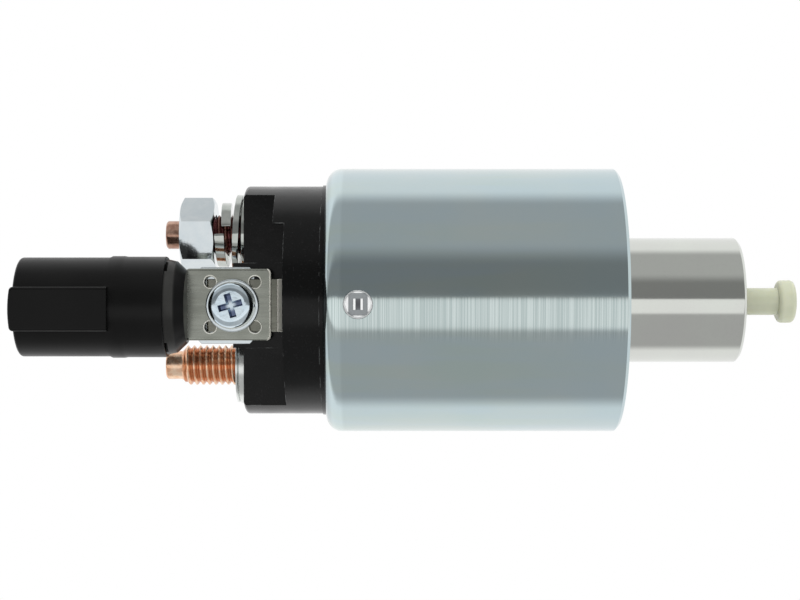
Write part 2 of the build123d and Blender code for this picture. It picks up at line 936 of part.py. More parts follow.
def cross_recess():
    """A tapered cross recess, cut from y = 0 towards +Y."""
    length = 2 * screw_recess_reach
    cross = Rectangle(length, screw_recess_width) + Rectangle(screw_recess_width, length)
    mouth = Plane(origin=(0, -stack_play, 0), z_dir=(0, 1, 0)) * cross
    recess = extrude(mouth, screw_recess_depth + stack_play, taper=screw_recess_taper)
    return Rot(0, -screw_recess_turn, 0) * recess


def terminal_screw():
    """The pan head screw with a cross recess."""
    head_top = screw_lock_y - screw_head_height
    shank_top = screw_lock_y - cut_over
    shank = bar_y(shank_top, seat_y + stack_play, screw_radius, terminal_x, terminal_z)
    head = bar_y(head_top, screw_lock_y, screw_head_radius, terminal_x, terminal_z)
    rim = head.edges().filter_by(GeomType.CIRCLE).sort_by(Axis.Y)[0]
    head = fillet(rim, screw_head_height / 2)
    return shank + head - Pos(terminal_x, head_top, terminal_z) * cross_recess()


def terminal_screw_washer():
    """The captive flat washer under the screw."""
    washer = bar_y(screw_washer_y, plate_y, screw_washer_radius, terminal_x, terminal_z)
    bore = bar_y(screw_washer_y, plate_y, screw_radius + stack_play, terminal_x, terminal_z)
    return washer - bore


def terminal_lock_washer():
    """The captive spring washer under the screw head."""
    washer = bar_y(screw_lock_y, screw_washer_y, screw_lock_radius, terminal_x, terminal_z)
    bore = bar_y(screw_lock_y, screw_washer_y, screw_radius + stack_play, terminal_x, terminal_z)
    split = block(
        (terminal_x, terminal_x + screw_lock_radius + cut_over),
        (screw_lock_y, screw_washer_y),
        (terminal_z - 2 * stack_play, terminal_z + 2 * stack_play),
    )
    return washer - bore - split


def connector_body():
    """The turned form of the connector housing, about its own axis."""
    ring_end = connector_step + connector_ring_length
    ring_radius = connector_back_radius + connector_ring_height
    lip_end = connector_shoulder + connector_lip_length
    profile = outline(
        (connector_end, 0),
        (connector_end, connector_front_radius),
        (connector_step, connector_front_radius),
        (connector_step + connector_ring_slope, ring_radius),
        (ring_end - connector_ring_slope, ring_radius),
        (ring_end, connector_back_radius),
        (connector_shoulder, connector_back_radius),
        (connector_shoulder, connector_lip_radius),
        (lip_end, connector_lip_radius - connector_lip_taper),
        (connector_neck_end, connector_neck_radius),
        (connector_neck_end, 0),
    )
    shoulder = profile.vertices().sort_by(Axis.X)[-5:-3].sort_by(Axis.Y)[-1]
    profile = fillet(shoulder, connector_shoulder_fillet)
    rim = profile.vertices().sort_by(Axis.X)[:2].sort_by(Axis.Y)[-1]
    return turned(fillet(rim, connector_edge_fillet))


def connector_latch():
    """The flat-topped latch ridge and its slot, on the -Y side."""
    half_width = latch_width / 2
    top = -connector_front_radius - latch_height
    ridge = block(
        (connector_end - latch_overhang, latch_end),
        (top, -socket_radius - cut_over),
        (-half_width, half_width),
    )
    tip = connector_end - latch_overhang
    ridge = ridge & bar_y(top - cut_over, 0, latch_end_radius, tip + latch_end_radius, 0)
    corners = ridge.edges().filter_by(Axis.Y).sort_by(Axis.X)[:2]
    ridge = fillet(corners, latch_corner)
    ridge = fillet(ridge.edges().filter_by(Axis.X).sort_by(Axis.Y)[:2], connector_edge_fillet)
    wall = latch_height + connector_front_radius - socket_radius
    slot_top = top + (wall - latch_slot_height) / 2
    slot = block(
        (connector_end - cut_over, connector_end + latch_slot_length),
        (slot_top, slot_top + latch_slot_height),
        (-latch_slot_width / 2, latch_slot_width / 2),
    )
    low = Pos(0, 0, -latch_drop)
    return low * ridge, low * slot


def shoulder_slots():
    """The two narrow moulding slots behind the shoulder, on the -Y side."""
    slot_x = (connector_shoulder, connector_shoulder + connector_slot_width)
    slot_y = (-connector_lip_radius - cut_over, -blade_width / 2)
    slot_outer = connector_lip_radius - connector_slot_width
    slot_inner = slot_outer - connector_slot_height
    above = block(slot_x, slot_y, (slot_inner, slot_outer))
    below = block(slot_x, slot_y, (-slot_outer, -slot_inner))
    return above + below


def connector_housing():
    """The moulded connector: round body, latch ridge, moulding slots and open socket."""
    ridge, slot = connector_latch()
    body = connector_body() + ridge - slot - shoulder_slots()
    body = body - bar_x(connector_end - cut_over, connector_end + socket_depth, socket_radius)
    housing = Pos(0, connector_y, connector_z) * body
    return housing - connector_terminal()


pieces = {
    "case_shell": case_shell,
    "guide_sleeve": guide_sleeve,
    "coil_washer": coil_washer,
    "coil_bobbin": coil_bobbin,
    "pull_in_winding": pull_in_winding,
    "hold_in_winding": hold_in_winding,
    "switch_lead": switch_lead,
    "motor_lead": motor_lead,
    "fixed_core": fixed_core,
    "return_spring": return_spring,
    "plunger": plunger,
    "hook_retainer": hook_retainer,
    "plunger_hook": plunger_hook,
    "engagement_spring": engagement_spring,
    "contact_rod": contact_rod,
    "rod_clip": rod_clip,
    "contact_spring": contact_spring,
    "moving_contact": moving_contact,
    "contact_insulator_front": contact_insulator_front,
    "contact_insulator_rear": contact_insulator_rear,
    "rod_return_spring": rod_return_spring,
    "cap_gasket": cap_gasket,
    "terminal_cap": terminal_cap,
    "battery_stud": lambda: stud(1),
    "motor_stud": lambda: stud(-1),
    "battery_stud_seal": lambda: stud_seal(1),
    "motor_stud_seal": lambda: stud_seal(-1),
    "battery_stud_ring": battery_stud_ring,
    "battery_flat_washer": battery_flat_washer,
    "battery_lock_washer": battery_lock_washer,
    "battery_nut": battery_nut,
    "motor_stud_washer": motor_stud_washer,
    "switch_terminal": switch_terminal,
    "terminal_nut": terminal_nut,
    "connector_terminal": connector_terminal,
    "terminal_screw": terminal_screw,
    "terminal_screw_washer": terminal_screw_washer,
    "terminal_lock_washer": terminal_lock_washer,
    "connector_housing": connector_housing,
}

os.makedirs("parts", exist_ok=True)
for name, make in pieces.items():
    solid = make()
    solid.label = name
    export_step(solid, f"parts/{name}.step")
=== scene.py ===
"""Starter solenoid: the look of every piece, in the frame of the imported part.

Everything is in metres. +X runs along the plunger axis, +Z is up, and the camera
looks along +Y at the side with the switch connector.
"""

import bmesh
import bpy
import json
import math
from mathutils import Matrix, Vector

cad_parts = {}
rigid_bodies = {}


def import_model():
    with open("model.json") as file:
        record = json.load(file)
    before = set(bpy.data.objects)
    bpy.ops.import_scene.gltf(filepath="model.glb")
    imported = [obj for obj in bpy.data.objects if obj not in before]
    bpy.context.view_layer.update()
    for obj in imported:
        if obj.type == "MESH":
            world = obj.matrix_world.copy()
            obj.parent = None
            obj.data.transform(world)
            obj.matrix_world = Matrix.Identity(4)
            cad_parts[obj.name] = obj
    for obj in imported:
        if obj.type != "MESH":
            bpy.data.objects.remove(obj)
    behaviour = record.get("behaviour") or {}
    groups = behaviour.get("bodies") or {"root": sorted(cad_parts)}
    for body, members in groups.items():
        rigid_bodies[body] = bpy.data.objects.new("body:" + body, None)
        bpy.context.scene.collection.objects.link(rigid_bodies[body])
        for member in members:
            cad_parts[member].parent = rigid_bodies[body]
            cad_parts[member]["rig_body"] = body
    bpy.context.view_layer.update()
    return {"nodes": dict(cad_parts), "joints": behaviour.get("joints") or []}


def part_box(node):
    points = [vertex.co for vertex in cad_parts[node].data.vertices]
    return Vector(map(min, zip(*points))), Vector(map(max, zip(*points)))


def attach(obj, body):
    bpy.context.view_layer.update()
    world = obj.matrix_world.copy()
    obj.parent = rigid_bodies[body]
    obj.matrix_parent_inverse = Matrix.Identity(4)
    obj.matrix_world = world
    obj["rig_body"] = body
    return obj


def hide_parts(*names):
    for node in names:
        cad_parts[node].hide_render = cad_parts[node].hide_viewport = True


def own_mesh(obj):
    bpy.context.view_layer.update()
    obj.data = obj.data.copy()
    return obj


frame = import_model()
MM = 0.001

# Camera: the photograph's viewpoint, level with the plunger axis
PICTURE_WIDTH = 800
FOCAL_PIXELS = 1750
SENSOR = 36.0
CAMERA_PLACE = Vector((-42.9, -350.0, 0.0)) * MM

# Main stud threads
THREAD_PITCH = 1.25 * MM
CREST_RADIUS = 3.95 * MM
ROOT_RADIUS = 3.38 * MM
SHANK_RADIUS = 3.6 * MM
PILOT_RADIUS = 2.8 * MM
PILOT_LENGTH = 3.2 * MM
CONE_LENGTH = 0.9 * MM
END_CHAMFER = 0.3 * MM
TURN_STEPS = 40

# A band on the connector's neck, painted lighter as a painted highlight on its cone
NECK_HIGHLIGHT_START = -87.5 * MM
NECK_HIGHLIGHT_END = -85.2 * MM

# Cross recess of the terminal screw, and the reliefs at the corners of the plate's window
RECESS_REACH = 2.4 * MM
RELIEF_OFFSET = 4.3 * MM
RELIEF_RADIUS = 1.2 * MM
RELIEF_BEAD = 0.13 * MM

# The crimp at the case's rear: its rim painted darker as painted shade, its middle painted lighter as a
# painted highlight, and where the body starts
CRIMP_SHADED_RIM = -57.0 * MM
CRIMP_LIT_MIDDLE = -55.8 * MM
CRIMP_END = -53.6 * MM

# Sharp edges that are rounded, and edges that stay sharp in the shading, in degrees
SHARP_CORNER = 28
SHADED_CORNER = 32

# Stakes in the case: station, reach, and the levels of the ribs and of the punched floor, where the
# stake's painted highlight and painted shade change
STAKE_STATION = -50.7 * MM
STAKE_REACH = 3.0 * MM
STAKE_MOUTH = 26.08 * MM
RIB_LEVEL = 25.1 * MM
PUNCH_LEVEL = 24.76 * MM

# Studio
FLOOR_LEVEL = -80.0 * MM
FLOOR_HALF = 3.0
PLAIN_LIGHT = 0.85
WHITE_START = 0.06
WHITE_FULL = 0.12
FLOOR_STRETCH = 0.6
FLOOR_MIDDLE = 40 * MM
LAMP_PLACE = (-0.05, -0.15, 0.7)
LAMP_TARGET = (-0.04, 0, 0)
LAMP_SIZE = 0.5
LAMP_POWER = 2.0


def plug(tree, socket, value):
    """Link a socket to another one, or set its value."""
    if isinstance(value, bpy.types.NodeSocket):
        tree.links.new(value, socket)
    else:
        socket.default_value = value


def add(tree, kind, settings=None, **inputs):
    """One shader node with its settings and its inputs by name."""
    made = tree.nodes.new("ShaderNode" + kind)
    for name, value in (settings or {}).items():
        setattr(made, name, value)
    for name, value in inputs.items():
        plug(tree, made.inputs[name.replace("_", " ")], value)
    return made


def calc(tree, operation, *values):
    """A math node of one operation."""
    made = add(tree, "Math", {"operation": operation})
    for socket, value in zip(made.inputs, values):
        plug(tree, socket, value)
    return made.outputs[0]


def span(tree, value, low, high, to_low=0.0, to_high=1.0):
    """Map a value from one range to another, with soft ends."""
    made = add(
        tree,
        "MapRange",
        {"interpolation_type": "SMOOTHSTEP"},
        Value=value,
        From_Min=low,
        From_Max=high,
        To_Min=to_low,
        To_Max=to_high,
    )
    return made.outputs["Result"]


def tint(tree, mask, first, second):
    """A colour between two colours, by a mask."""
    made = add(tree, "Mix", {"data_type": "RGBA"})
    plug(tree, made.inputs[0], mask)
    plug(tree, made.inputs[6], first)
    plug(tree, made.inputs[7], second)
    return made.outputs[2]


def group(name, inputs, outputs):
    """An empty shader group with named number or vector sockets."""
    made = bpy.data.node_groups.new(name, "ShaderNodeTree")
    for label, kind, value in inputs:
        socket = made.interface.new_socket(label, in_out="INPUT", socket_type="NodeSocket" + kind)
        if value is not None:
            socket.default_value = value
    for label in outputs:
        made.interface.new_socket(label, in_out="OUTPUT", socket_type="NodeSocketFloat")
    return made, made.nodes.new("NodeGroupInput"), made.nodes.new("NodeGroupOutput")


def turning_lines():
    """Fine tool lines round the plunger axis, and rings on the flat faces."""
    tree, given, result = group(
        "turning_lines",
        [("Vector", "Vector", None), ("Fineness", "Float", 2500.0), ("Length", "Float", 25.0)],
        ["Fine"],
    )
    parts = add(tree, "SeparateXYZ", Vector=given.outputs["Vector"]).outputs
    across_axis = add(tree, "CombineXYZ", Y=parts[1], Z=parts[2]).outputs[0]
    radius = add(tree, "VectorMath", {"operation": "LENGTH"}, Vector=across_axis).outputs["Value"]
    across = calc(tree, "ADD", parts[0], radius)
    fine = calc(tree, "MULTIPLY", across, given.outputs["Fineness"])
    along_y = calc(tree, "MULTIPLY", parts[1], given.outputs["Length"])
    along_z = calc(tree, "MULTIPLY", parts[2], given.outputs["Length"])
    place = add(tree, "CombineXYZ", X=fine, Y=along_y, Z=along_z).outputs[0]
    close = add(tree, "TexNoise", Vector=place, Scale=1.0, Detail=3.0, Roughness=0.7)
    plug(tree, result.inputs["Fine"], close.outputs[0])
    return tree


def patches():
    """Soft patches and small specks, as plating and moulded surfaces have."""
    tree, given, result = group(
        "patches",
        [("Vector", "Vector", None), ("Size", "Float", 120.0), ("Speck Size", "Float", 1800.0)],
        ["Patch", "Speck"],
    )
    place = given.outputs["Vector"]
    patch = add(tree, "TexNoise", Vector=place, Scale=given.outputs["Size"], Detail=4.0)
    speck = add(tree, "TexNoise", Vector=place, Scale=given.outputs["Speck Size"], Detail=1.0)
    plug(tree, result.inputs["Patch"], span(tree, patch.outputs[0], 0.3, 0.7))
    plug(tree, result.inputs["Speck"], span(tree, speck.outputs[0], 0.6, 0.75))
    return tree


def rubbed_edges():
    """A mask of the outer edges, where handling brightens a finish and, on the cap, where its painted
    glints go.
    """
    tree, given, result = group("rubbed_edges", [("Width", "Float", 0.3 * MM)], ["Edge"])
    rounded = add(tree, "Bevel", {"samples": 4}, Radius=given.outputs["Width"]).outputs[0]
    flat = add(tree, "NewGeometry").outputs["Normal"]
    facing = add(tree, "VectorMath", {"operation": "DOT_PRODUCT"})
    plug(tree, facing.inputs[0], rounded)
    plug(tree, facing.inputs[1], flat)
    plug(tree, result.inputs["Edge"], span(tree, facing.outputs["Value"], 0.98, 0.8))
    return tree


def axis_distance():
    """The distance of a point from a line along X at a given height."""
    tree, given, result = group(
        "axis_distance",
        [("Vector", "Vector", None), ("Height", "Float", 0.0)],
        ["Distance"],
    )
    parts = add(tree, "SeparateXYZ", Vector=given.outputs["Vector"]).outputs
    rise = calc(tree, "SUBTRACT", parts[2], given.outputs["Height"])
    squared = calc(tree, "ADD", calc(tree, "POWER", parts[1], 2.0), calc(tree, "POWER", rise, 2.0))
    plug(tree, result.inputs["Distance"], calc(tree, "SQRT", squared))
    return tree


LINES = turning_lines()
PATCHES = patches()
EDGES = rubbed_edges()
DISTANCE = axis_distance()


def use(tree, shared, **inputs):
    """A shared group placed in a material."""
    made = tree.nodes.new("ShaderNodeGroup")
    made.node_tree = shared
    for name, value in inputs.items():
        plug(tree, made.inputs[name.replace("_", " ")], value)
    return made.outputs


def start(name, **surface):
    """A new material: its tree, its surface shader and its object coordinates."""
    made = bpy.data.materials.new(name)
    made.use_nodes = True
    tree = made.node_tree
    shader = tree.nodes["Principled BSDF"]
    for label, value in surface.items():
        plug(tree, shader.inputs[label.replace("_", " ")], value)
    place = add(tree, "TexCoord").outputs["Object"]
    return made, tree, shader, place


def relief(tree, shader, height, depth):
    """A bump of a given depth on the surface shader."""
    bump = add(tree, "Bump", Strength=1.0, Distance=depth, Height=height)
    plug(tree, shader.inputs["Normal"], bump.outputs[0])


def plated_case():
    """Bluish zinc on the drawn case: satin bands along it; ring lines beside the stake with painted
    streaks of the strip lamp's reflection; painted shade and a painted highlight on the crimp; painted
    highlight and shade inside the stake.
    """
    made, tree, shader, place = start("plated_case", Metallic=1.0)
    lines = use(tree, LINES, Vector=place, Fineness=2600.0, Length=16.0)
    drawn = add(tree, "Mapping", Vector=place, Scale=(14.0, 130.0, 130.0)).outputs[0]
    band = add(tree, "TexNoise", Vector=drawn, Scale=1.0, Detail=3.0, Roughness=0.6).outputs[0]
    cloud = use(tree, PATCHES, Vector=place, Size=55.0, Speck_Size=2600.0)["Patch"]
    blue = tint(tree, cloud, (0.492, 0.598, 0.637, 1), (0.520, 0.608, 0.622, 1))
    green = tint(tree, cloud, (0.500, 0.602, 0.582, 1), (0.535, 0.612, 0.595, 1))
    parts = add(tree, "SeparateXYZ", Vector=place).outputs
    toward_front = span(tree, parts[0], -28.0 * MM, 0.0, 1.0, 0.35)
    colour = tint(tree, calc(tree, "MULTIPLY", span(tree, band, 0.38, 0.62), toward_front), blue, green)
    round_axis = calc(tree, "ARCTAN2", parts[2], calc(tree, "MULTIPLY", parts[1], -1.0))
    # Ring lines in the band round the axis where the strip lamp's reflection falls: the lines are real,
    # their bright streaks are a painted reflection
    strip = calc(
        tree,
        "MULTIPLY",
        span(tree, round_axis, math.radians(-19), math.radians(-9)),
        span(tree, round_axis, math.radians(1.7), math.radians(0.8)),
    )
    rings = use(tree, LINES, Vector=place, Fineness=2900.0, Length=9.0)["Fine"]
    ring = span(tree, rings, 0.40, 0.60)
    ringed_reflection_streaks = tint(tree, ring, (0.450, 0.527, 0.522, 1), (0.600, 0.678, 0.670, 1))
    reach = use(tree, DISTANCE, Vector=place)["Distance"]
    strip = calc(tree, "MULTIPLY", strip, span(tree, reach, 25.6 * MM, 25.9 * MM))
    colour = tint(tree, strip, colour, ringed_reflection_streaks)
    # Painted shade and highlight on the crimp: colour scaled from 0.80 at the rim up to 1.12 in its
    # middle, back to 1.0 on the body
    rim = span(tree, parts[0], CRIMP_SHADED_RIM, CRIMP_LIT_MIDDLE, 0.80, 1.12)
    body = span(tree, parts[0], CRIMP_END - 0.8 * MM, CRIMP_END, 0.0, -0.12)
    rim = calc(tree, "ADD", rim, body)
    colour = add(tree, "VectorMath", {"operation": "SCALE"}, Vector=colour, Scale=rim).outputs[0]
    # Painted light inside the stake: near-white on the ribs as a painted highlight, dark grey on the
    # punched floor and near-black in the groove as painted shade, with the metal made half diffuse so
    # these colours show
    from_stake = calc(tree, "ABSOLUTE", calc(tree, "SUBTRACT", parts[0], STAKE_STATION))
    beside = span(tree, from_stake, STAKE_REACH + 0.1 * MM, STAKE_REACH)
    staked = calc(tree, "MULTIPLY", beside, span(tree, reach, STAKE_MOUTH, STAKE_MOUTH - 0.1 * MM))
    below_punch = span(tree, reach, PUNCH_LEVEL, PUNCH_LEVEL - 0.1 * MM)
    floor = tint(tree, below_punch, (0.3, 0.32, 0.33, 1), (0.04, 0.04, 0.05, 1))
    below_ribs = span(tree, reach, RIB_LEVEL, RIB_LEVEL - 0.1 * MM)
    pressed = tint(tree, below_ribs, (0.97, 0.98, 0.98, 1), floor)
    plug(tree, shader.inputs["Base Color"], tint(tree, staked, colour, pressed))
    plug(tree, shader.inputs["Metallic"], span(tree, staked, 0.0, 1.0, 1.0, 0.45))
    plug(tree, shader.inputs["Roughness"], span(tree, band, 0.3, 0.7, 0.085, 0.125))
    relief(tree, shader, lines["Fine"], 0.0035 * MM)
    return made


def ground_steel():
    """The plunger: centreless ground steel, slightly warm."""
    made, tree, shader, place = start("ground_steel", Metallic=1.0)
    lines = use(tree, LINES, Vector=place, Fineness=3600.0, Length=12.0)
    tone = use(tree, PATCHES, Vector=place, Size=70.0, Speck_Size=3000.0)
    colour = tint(tree, tone["Patch"], (0.655, 0.665, 0.635, 1), (0.675, 0.700, 0.655, 1))
    colour = tint(tree, calc(tree, "MULTIPLY", tone["Speck"], 0.25), colour, (0.55, 0.56, 0.53, 1))
    plug(tree, shader.inputs["Base Color"], colour)
    plug(tree, shader.inputs["Roughness"], span(tree, lines["Fine"], 0.3, 0.7, 0.07, 0.11))
    relief(tree, shader, lines["Fine"], 0.0015 * MM)
    return made


def plated_hardware(name, dull, bright, smooth=0.075, rough=0.095):
    """Zinc on the nut and the washers."""
    made, tree, shader, place = start(name, Metallic=1.0)
    tone = use(tree, PATCHES, Vector=place, Size=420.0, Speck_Size=3200.0)
    edge = use(tree, EDGES, Width=0.25 * MM)["Edge"]
    colour = tint(tree, tone["Patch"], (*dull, 1), (*bright, 1))
    colour = tint(tree, calc(tree, "MULTIPLY", edge, 0.6), colour, (0.82, 0.86, 0.86, 1))
    plug(tree, shader.inputs["Base Color"], colour)
    plug(tree, shader.inputs["Roughness"], span(tree, tone["Patch"], 0.0, 1.0, smooth, rough))
    relief(tree, shader, tone["Speck"], 0.002 * MM)
    return made


def stud_copper(name, node, height, wear, root, dull, bright):
    """Copper with dark oxide in the roots of the thread."""
    made, tree, shader, place = start(name, Metallic=0.8)
    tone = use(tree, PATCHES, Vector=place, Size=700.0, Speck_Size=4000.0)
    reach = use(tree, DISTANCE, Vector=place, Height=height)["Distance"]
    crest = span(tree, reach, ROOT_RADIUS, CREST_RADIUS)
    metal = tint(tree, tone["Patch"], (*dull, 1), (*bright, 1))
    along = add(tree, "SeparateXYZ", Vector=place).outputs[0]
    pilot_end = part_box(node)[0].x + PILOT_LENGTH
    pilot = span(tree, along, pilot_end + 0.5 * MM, pilot_end)
    clean = calc(tree, "MAXIMUM", calc(tree, "MULTIPLY", crest, wear), pilot)
    wear_and_highlight = calc(tree, "MULTIPLY", clean, span(tree, tone["Patch"], 0.0, 1.0, 0.75, 1.0))
    colour = tint(tree, wear_and_highlight, (*root, 1), metal)
    plug(tree, shader.inputs["Base Color"], colour)
    plug(tree, shader.inputs["Roughness"], span(tree, tone["Patch"], 0.0, 1.0, 0.14, 0.26))
    relief(tree, shader, tone["Patch"], 0.02 * MM)
    return made


def screw_zinc():
    """The screw's bluish zinc, with painted shade down in its recess, lighter again at the recess's
    centre.
    """
    made, tree, shader, place = start("screw_zinc", Metallic=1.0)
    tone = use(tree, PATCHES, Vector=place, Size=500.0, Speck_Size=3200.0)
    low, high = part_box("terminal_screw")
    centre = (low + high) / 2
    out = add(tree, "VectorMath", {"operation": "SUBTRACT"})
    plug(tree, out.inputs[0], place)
    plug(tree, out.inputs[1], (centre.x, low.y, centre.z))
    parts = add(tree, "SeparateXYZ", Vector=out.outputs[0]).outputs
    across = add(tree, "CombineXYZ", X=parts[0], Y=parts[2]).outputs[0]
    reach = add(tree, "VectorMath", {"operation": "LENGTH"}, Vector=across).outputs["Value"]
    inside = span(tree, reach, RECESS_REACH + 0.1 * MM, RECESS_REACH)
    # Painted shade: the colour darkens with depth in the cross recess, less so at its centre
    recess_painted_shade = calc(tree, "MULTIPLY", inside, span(tree, parts[1], 0.5 * MM, 1.3 * MM))
    recess_painted_shade = calc(tree, "MULTIPLY", recess_painted_shade, span(tree, reach, 0.3 * MM, 1.3 * MM, 0.1, 1.0))
    colour = tint(tree, tone["Patch"], (0.56, 0.67, 0.75, 1), (0.72, 0.82, 0.88, 1))
    plug(tree, shader.inputs["Base Color"], tint(tree, recess_painted_shade, colour, (0.12, 0.15, 0.24, 1)))
    plug(tree, shader.inputs["Roughness"], span(tree, tone["Patch"], 0.0, 1.0, 0.08, 0.15))
    relief(tree, shader, tone["Patch"], 0.01 * MM)
    return made


def tinned_strip(name, dull, bright):
    """Dull tin on a pressed terminal, with the rolling lines of the strip, and a painted highlight on
    the faces that turn to the right.
    """
    made, tree, shader, place = start(name, Metallic=1.0)
    stretched = add(tree, "Mapping", Vector=place, Scale=(120.0, 120.0, 1500.0)).outputs[0]
    rolled = add(tree, "TexNoise", Vector=stretched, Scale=1.0, Detail=3.0).outputs[0]
    tone = use(tree, PATCHES, Vector=place, Size=160.0, Speck_Size=3500.0)
    edge = use(tree, EDGES, Width=0.3 * MM)["Edge"]
    colour = tint(tree, tone["Patch"], (*dull, 1), (*bright, 1))
    colour = tint(tree, calc(tree, "MULTIPLY", edge, 0.8), colour, (0.86, 0.86, 0.78, 1))
    # Painted highlight: faces turned towards +X get a near-white, non-metal colour, as if lit from the
    # right
    normal = add(tree, "NewGeometry").outputs["Normal"]
    turned = add(tree, "SeparateXYZ", Vector=normal).outputs[0]
    right_face_painted_highlight = span(tree, turned, 0.08, 0.35)
    plug(tree, shader.inputs["Base Color"], tint(tree, right_face_painted_highlight, colour, (0.97, 0.96, 0.86, 1)))
    plug(tree, shader.inputs["Metallic"], calc(tree, "SUBTRACT", 1.0, right_face_painted_highlight))
    plug(tree, shader.inputs["Roughness"], span(tree, rolled, 0.3, 0.7, 0.22, 0.30))
    relief(tree, shader, rolled, 0.003 * MM)
    return made


def moulded_cap():
    """Glossy black phenolic with a faint ripple of the mould, and grey on some edges: partly rubbed
    wear, partly painted glints.
    """
    made, tree, shader, place = start("moulded_cap", Specular_IOR_Level=0.22)
    tone = use(tree, PATCHES, Vector=place, Size=150.0, Speck_Size=2600.0)
    colour = tint(tree, tone["Speck"], (0.0020, 0.0022, 0.0022, 1), (0.008, 0.008, 0.008, 1))
    scuff = use(tree, PATCHES, Vector=place, Size=330.0)["Patch"]
    edge = use(tree, EDGES, Width=0.25 * MM)["Edge"]
    # Grey on patches of the edges: partly rubbed wear, partly painted glints
    edge_wear_and_glints = calc(tree, "MULTIPLY", edge, span(tree, scuff, 0.45, 0.85))
    colour = tint(tree, edge_wear_and_glints, colour, (0.13, 0.135, 0.135, 1))
    plug(tree, shader.inputs["Base Color"], colour)
    plug(tree, shader.inputs["Roughness"], span(tree, tone["Patch"], 0.0, 1.0, 0.16, 0.24))
    relief(tree, shader, tone["Patch"], 0.015 * MM)
    return made


def satin_nylon():
    """The connector's satin black nylon, with the spark grain of its mould, and a painted highlight band
    round its neck.
    """
    made, tree, shader, place = start("satin_nylon", Specular_IOR_Level=0.17)
    tone = use(tree, PATCHES, Vector=place, Size=90.0, Speck_Size=5200.0)
    grain = add(tree, "TexNoise", Vector=place, Scale=5200.0, Detail=2.0).outputs[0]
    colour = tint(tree, tone["Patch"], (0.0030, 0.0030, 0.0030, 1), (0.0045, 0.0045, 0.0044, 1))
    along = add(tree, "SeparateXYZ", Vector=place).outputs[0]
    # Painted highlight: a lighter band round the neck, where its cone catches the light
    wear_and_highlight = calc(
        tree,
        "MULTIPLY",
        span(tree, along, NECK_HIGHLIGHT_START, NECK_HIGHLIGHT_START + 0.5 * MM),
        span(tree, along, NECK_HIGHLIGHT_END, NECK_HIGHLIGHT_END - 0.5 * MM),
    )
    wear_and_highlight = calc(tree, "MULTIPLY", wear_and_highlight, span(tree, tone["Patch"], 0.0, 1.0, 0.5, 1.0))
    plug(tree, shader.inputs["Base Color"], tint(tree, wear_and_highlight, colour, (0.036, 0.036, 0.034, 1)))
    plug(tree, shader.inputs["Roughness"], span(tree, tone["Patch"], 0.0, 1.0, 0.30, 0.37))
    relief(tree, shader, grain, 0.005 * MM)
    return made


def ivory_nylon():
    """The hook's natural nylon: pale, slightly clear, with a waxy gloss."""
    made, tree, shader, place = start(
        "ivory_nylon", Subsurface_Weight=0.35, Subsurface_Scale=2.0 * MM
    )
    shader.inputs["Subsurface Radius"].default_value = (1.0, 0.9, 0.6)
    tone = use(tree, PATCHES, Vector=place, Size=260.0, Speck_Size=3000.0)
    colour = tint(tree, tone["Patch"], (0.57, 0.60, 0.45, 1), (0.62, 0.64, 0.49, 1))
    plug(tree, shader.inputs["Base Color"], colour)
    plug(tree, shader.inputs["Roughness"], span(tree, tone["Patch"], 0.0, 1.0, 0.30, 0.40))
    relief(tree, shader, tone["Patch"], 0.02 * MM)
    return made


def plain_finish(name, dark, light, metallic, smooth, rough, size=300.0):
    """A finish of the inner pieces: two close tones and a varied gloss."""
    made, tree, shader, place = start(name, Metallic=metallic)
    tone = use(tree, PATCHES, Vector=place, Size=size, Speck_Size=3000.0)
    plug(tree, shader.inputs["Base Color"], tint(tree, tone["Patch"], (*dark, 1), (*light, 1)))
    plug(tree, shader.inputs["Roughness"], span(tree, tone["Patch"], 0.0, 1.0, smooth, rough))
    relief(tree, shader, tone["Patch"], 0.01 * MM)
    return made


def wound_wire():
    """Enamelled copper wire, laid turn beside turn along the coil."""
    made, tree, shader, place = start("wound_wire", Metallic=0.7)
    parts = add(tree, "SeparateXYZ", Vector=place).outputs
    turns = calc(tree, "SINE", calc(tree, "MULTIPLY", parts[0], 2 * math.pi / (0.9 * MM)))
    tone = use(tree, PATCHES, Vector=place, Size=200.0, Speck_Size=3000.0)
    colour = tint(tree, span(tree, turns, -1.0, 1.0), (0.16, 0.05, 0.02, 1), (0.50, 0.19, 0.08, 1))
    plug(tree, shader.inputs["Base Color"], colour)
    plug(tree, shader.inputs["Roughness"], span(tree, tone["Patch"], 0.0, 1.0, 0.25, 0.4))
    relief(tree, shader, turns, 0.12 * MM)
    return made


def finish_mesh(name, shape, material, body):
    """Turn a bmesh into a piece that rides on a body, with its place in its mesh."""
    mesh = bpy.data.meshes.new(name)
    shape.to_mesh(mesh)
    shape.free()
    mesh.shade_smooth()
    mesh.set_sharp_from_angle(angle=math.radians(SHADED_CORNER))
    mesh.materials.append(material)
    piece = bpy.data.objects.new(name, mesh)
    bpy.context.scene.collection.objects.link(piece)
    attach(piece, body)
    return piece


def rounded_copy(node, material, width, segments=2):
    """A copy of a node with its sharp edges rounded, which stands for the node."""
    source = frame["nodes"][node]
    shape = bmesh.new()
    shape.from_mesh(source.data)
    bmesh.ops.remove_doubles(shape, verts=shape.verts, dist=0.002 * MM)
    bmesh.ops.dissolve_limit(
        shape, angle_limit=math.radians(0.6), verts=shape.verts, edges=shape.edges
    )
    sharp = [
        edge
        for edge in shape.edges
        if len(edge.link_faces) == 2 and edge.calc_face_angle() > math.radians(SHARP_CORNER)
    ]
    bmesh.ops.bevel(
        shape,
        geom=sharp,
        offset=width,
        offset_type="OFFSET",
        affect="EDGES",
        segments=segments,
        profile=0.5,
        clamp_overlap=True,
        material=-1,
    )
    piece = finish_mesh(node + "_dressed", shape, material, source["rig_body"])
    weighted = piece.modifiers.new("even_faces", "WEIGHTED_NORMAL")
    weighted.keep_sharp = True
    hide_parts(node)
    return piece


